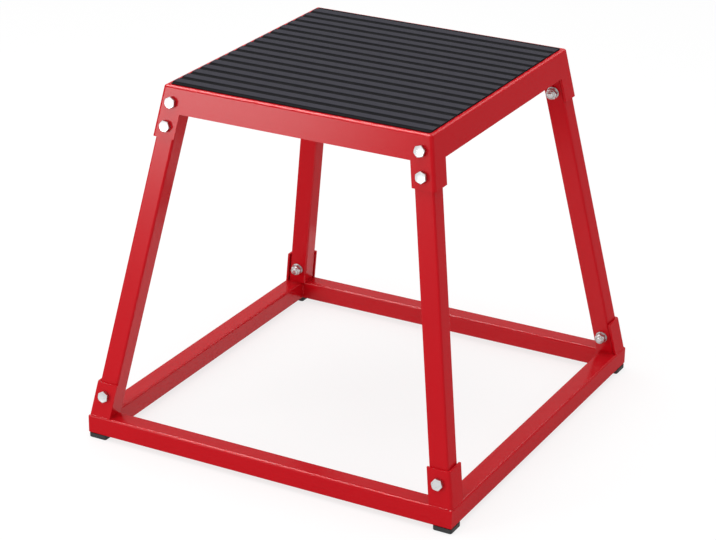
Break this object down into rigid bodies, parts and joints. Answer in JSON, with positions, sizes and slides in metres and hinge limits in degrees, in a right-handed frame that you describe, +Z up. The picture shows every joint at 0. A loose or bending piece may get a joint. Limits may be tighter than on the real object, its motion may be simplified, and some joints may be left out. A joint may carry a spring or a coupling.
{
  "type": "plyo box",
  "caption": "Steel plyometric jump box: ribbed rubber tread on a pressed tray, splayed square-tube legs bolted to a square tube base on rubber feet.",
  "frame": {"origin": "on the floor under the middle of the box", "axes": "+Z up, +X to the right along the front of the base, +Y to the back; bolt heads face -Y and +Y"},
  "size_m": [0.506, 0.5234, 0.457],
  "materials": {
    "red_powder_coat": "satin red powder coat with fine orange peel",
    "tread_rubber": "matt black moulded rubber, ribbed",
    "foot_rubber": "matt black moulded rubber",
    "zinc_plate": "bright zinc plate"
  },
  "bodies": {
    "root": {"top_tray": "red_powder_coat", "tread_mat": "tread_rubber", "leg_front_left": "red_powder_coat", "top_bracket_front_left": "red_powder_coat", "base_bracket_front_left": "red_powder_coat", "foot_front_left": "foot_rubber", "leg_front_right": "red_powder_coat", "top_bracket_front_right": "red_powder_coat", "base_bracket_front_right": "red_powder_coat", "foot_front_right": "foot_rubber", "leg_back_left": "red_powder_coat", "top_bracket_back_left": "red_powder_coat", "base_bracket_back_left": "red_powder_coat", "foot_back_left": "foot_rubber", "leg_back_right": "red_powder_coat", "top_bracket_back_right": "red_powder_coat", "base_bracket_back_right": "red_powder_coat", "foot_back_right": "foot_rubber", "base_rail_front": "red_powder_coat", "base_rail_right": "red_powder_coat", "base_rail_back": "red_powder_coat", "base_rail_left": "red_powder_coat", "top_bolts": "zinc_plate", "top_washers": "zinc_plate", "top_nuts": "zinc_plate", "base_bolts": "zinc_plate", "base_washers": "zinc_plate", "base_nuts": "zinc_plate", "foot_screws": "zinc_plate"}
  },
  "joints": []
}
